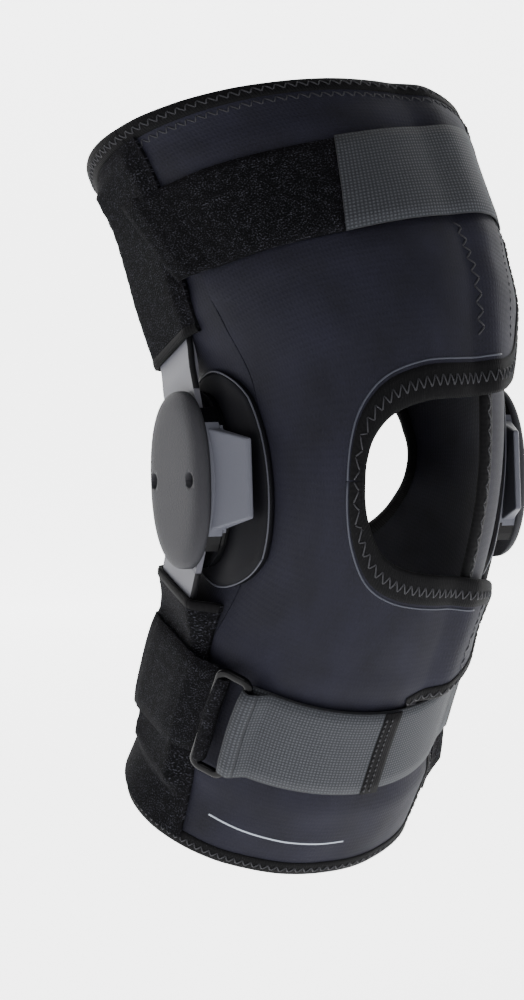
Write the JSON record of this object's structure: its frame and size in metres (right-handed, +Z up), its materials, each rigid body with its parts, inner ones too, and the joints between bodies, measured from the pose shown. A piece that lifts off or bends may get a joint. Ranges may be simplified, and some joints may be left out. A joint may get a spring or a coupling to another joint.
{
  "type": "hinged knee brace",
  "caption": "Wrap-around fabric knee brace with geared side hinges, aluminium uprights, open patella and popliteal areas, and hook-and-loop straps at thigh and calf.",
  "frame": {"origin": "centre of the knee, midway between the two hinges", "axes": "+Z up along the hinge plates towards the thigh, -Y to the front of the knee, -X to the outer (lateral) side of a right leg"},
  "size_m": [0.1637, 0.2174, 0.3293],
  "materials": {
    "sleeve_fabric": "fine knit over foam",
    "binding_tape": "woven tape",
    "loop_fabric": "brushed loop pile",
    "hook_tape": "hook tape",
    "strap_webbing": "woven webbing",
    "condyle_foam": "smooth skinned foam",
    "cover_plastic": "fine-textured moulding",
    "housing_plastic": "satin moulding",
    "black_plastic": "glossy moulding",
    "painted_aluminium": "satin",
    "plated_steel": "satin plating",
    "blackened_steel": "black oxide"
  },
  "bodies": {
    "thigh": {"thigh_front_panel": "sleeve_fabric", "thigh_back_panel": "sleeve_fabric", "thigh_flap_hook": "hook_tape", "patella_binding_upper": "binding_tape", "popliteal_binding_upper": "binding_tape", "top_binding": "binding_tape", "lateral_thigh_pocket": "loop_fabric", "medial_thigh_pocket": "loop_fabric", "thigh_strap_loop": "loop_fabric", "thigh_strap": "strap_webbing", "lateral_upper_upright": "painted_aluminium", "medial_upper_upright": "painted_aluminium"},
    "thigh_tab": {"thigh_strap_tab": "strap_webbing"},
    "lateral_hinge": {"lateral_side_panel": "sleeve_fabric", "lateral_condyle_pad": "condyle_foam", "lateral_backing_plate": "black_plastic", "lateral_hinge_housing": "housing_plastic", "lateral_inner_plate": "plated_steel", "lateral_outer_plate": "plated_steel", "lateral_upper_rivet": "plated_steel", "lateral_lower_rivet": "plated_steel", "lateral_extension_stop": "black_plastic", "lateral_flexion_stop": "black_plastic", "lateral_front_screw": "blackened_steel", "lateral_rear_screw": "blackened_steel", "lateral_hinge_cover": "cover_plastic"},
    "medial_hinge": {"medial_side_panel": "sleeve_fabric", "medial_condyle_pad": "condyle_foam", "medial_backing_plate": "black_plastic", "medial_hinge_housing": "housing_plastic", "medial_inner_plate": "plated_steel", "medial_outer_plate": "plated_steel", "medial_upper_rivet": "plated_steel", "medial_lower_rivet": "plated_steel", "medial_extension_stop": "black_plastic", "medial_flexion_stop": "black_plastic", "medial_front_screw": "blackened_steel", "medial_rear_screw": "blackened_steel", "medial_hinge_cover": "cover_plastic"},
    "shank": {"shank_front_panel": "sleeve_fabric", "shank_back_panel": "sleeve_fabric", "shank_flap_hook": "hook_tape", "patella_binding_lower": "binding_tape", "popliteal_binding_lower": "binding_tape", "bottom_binding": "binding_tape", "lateral_shank_pocket": "loop_fabric", "medial_shank_pocket": "loop_fabric", "calf_strap_anchor": "loop_fabric", "calf_strap_ring": "black_plastic", "calf_strap": "strap_webbing", "lateral_lower_upright": "painted_aluminium", "medial_lower_upright": "painted_aluminium"},
    "calf_tab": {"calf_strap_tab": "strap_webbing"}
  },
  "joints": [
    {"name": "lateral_upper_pivot", "type": "hinge", "parent": "thigh", "child": "lateral_hinge", "pos_m": [-0.06605, 0, 0.0155], "axis": [1, 0, 0], "range_deg": [-21, 28]},
    {"name": "medial_upper_pivot", "type": "hinge", "parent": "thigh", "child": "medial_hinge", "pos_m": [0.06605, 0, 0.0155], "axis": [1, 0, 0], "range_deg": [-21, 28]},
    {"name": "lower_pivot", "type": "hinge", "parent": "lateral_hinge", "child": "shank", "pos_m": [-0.06605, 0, -0.0155], "axis": [1, 0, 0], "range_deg": [-21, 28]},
    {"name": "thigh_tab_peel", "type": "hinge", "parent": "thigh", "child": "thigh_tab", "pos_m": [0.0662, -0.0157, 0.1185], "axis": [0.0415, 0.5793, 0.8141], "range_deg": [0, 70]},
    {"name": "calf_tab_peel", "type": "hinge", "parent": "shank", "child": "calf_tab", "pos_m": [-0.0453, -0.0025, -0.1039], "axis": [-0.0232, -0.6842, 0.7289], "range_deg": [-80, 0]}
  ],
  "couplings": [
    {"joint": "medial_upper_pivot", "follows": "lateral_upper_pivot", "ratio": 1},
    {"joint": "lower_pivot", "follows": "lateral_upper_pivot", "ratio": 1}
  ]
}
